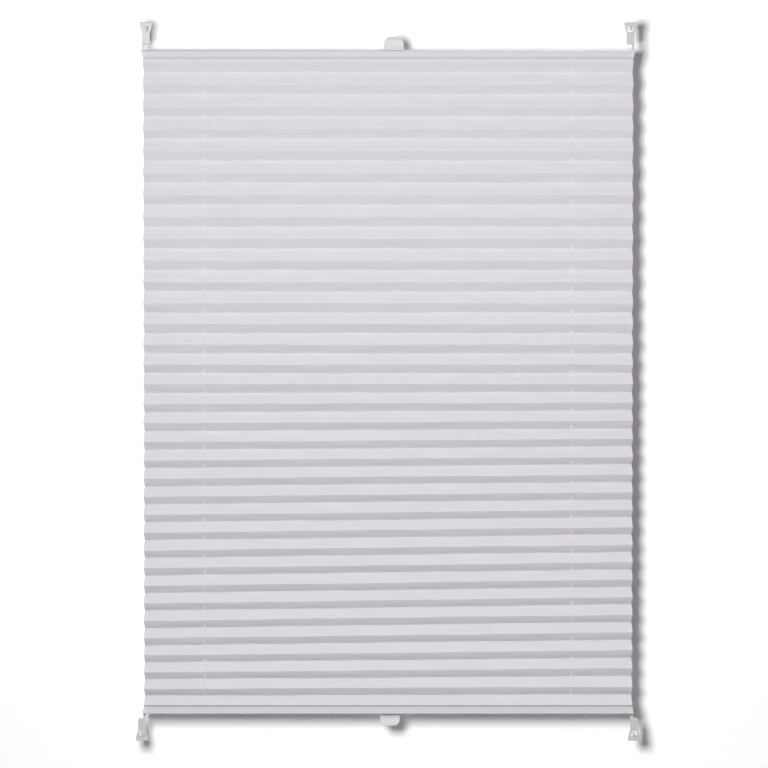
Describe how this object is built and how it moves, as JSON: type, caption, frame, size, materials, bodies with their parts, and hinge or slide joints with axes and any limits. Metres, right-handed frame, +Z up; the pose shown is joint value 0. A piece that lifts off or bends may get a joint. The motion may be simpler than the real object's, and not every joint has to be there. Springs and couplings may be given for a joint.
{
  "type": "pleated blind",
  "caption": "Cord-tensioned pleated window blind: a folded white fabric between two slim rails that slide on cords held by tension shoes at the corners.",
  "frame": {"origin": "middle of the blind: half way across, half way through its depth and half way between the shoes' ends", "axes": "+X across to the right as seen from the room, +Y from the room towards the window, +Z up"},
  "size_m": [0.719, 0.024, 1.025],
  "materials": {
    "rail": "white powder coat, satin",
    "strip": "plain extruded plastic",
    "moulding": "white moulded plastic, fine satin",
    "guide": "natural nylon",
    "shoe": "white moulded plastic, slight gloss",
    "fabric": "plain matte woven polyester, heat-set pleats",
    "cord": "braided polyester"
  },
  "bodies": {
    "cord_frame": {"top_left_shoe": "shoe", "top_right_shoe": "shoe", "bottom_left_shoe": "shoe", "bottom_right_shoe": "shoe", "left_cord": "cord", "right_cord": "cord", "pleated_fabric": "fabric"},
    "top_rail": {"top_rail": "rail", "top_strip": "strip", "top_left_cap": "moulding", "top_right_cap": "moulding", "top_left_guide": "guide", "top_right_guide": "guide"},
    "bottom_rail": {"bottom_rail": "rail", "bottom_strip": "strip", "bottom_left_cap": "moulding", "bottom_right_cap": "moulding", "bottom_left_guide": "guide", "bottom_right_guide": "guide"},
    "top_handle": {"top_handle": "moulding"},
    "bottom_handle": {"bottom_handle": "moulding"}
  },
  "joints": [
    {"name": "top_rail_slide", "type": "slide", "parent": "cord_frame", "child": "top_rail", "axis": [0, 0, -1], "range_m": [0, 0.43], "deforming": ["pleated_fabric", "left_cord", "right_cord"]},
    {"name": "bottom_rail_slide", "type": "slide", "parent": "cord_frame", "child": "bottom_rail", "axis": [0, 0, 1], "range_m": [0, 0.43]},
    {"name": "top_handle_slide", "type": "slide", "parent": "top_rail", "child": "top_handle", "axis": [1, 0, 0], "range_m": [-0.328, 0.312]},
    {"name": "bottom_handle_slide", "type": "slide", "parent": "bottom_rail", "child": "bottom_handle", "axis": [1, 0, 0], "range_m": [-0.3225, 0.3175]}
  ]
}
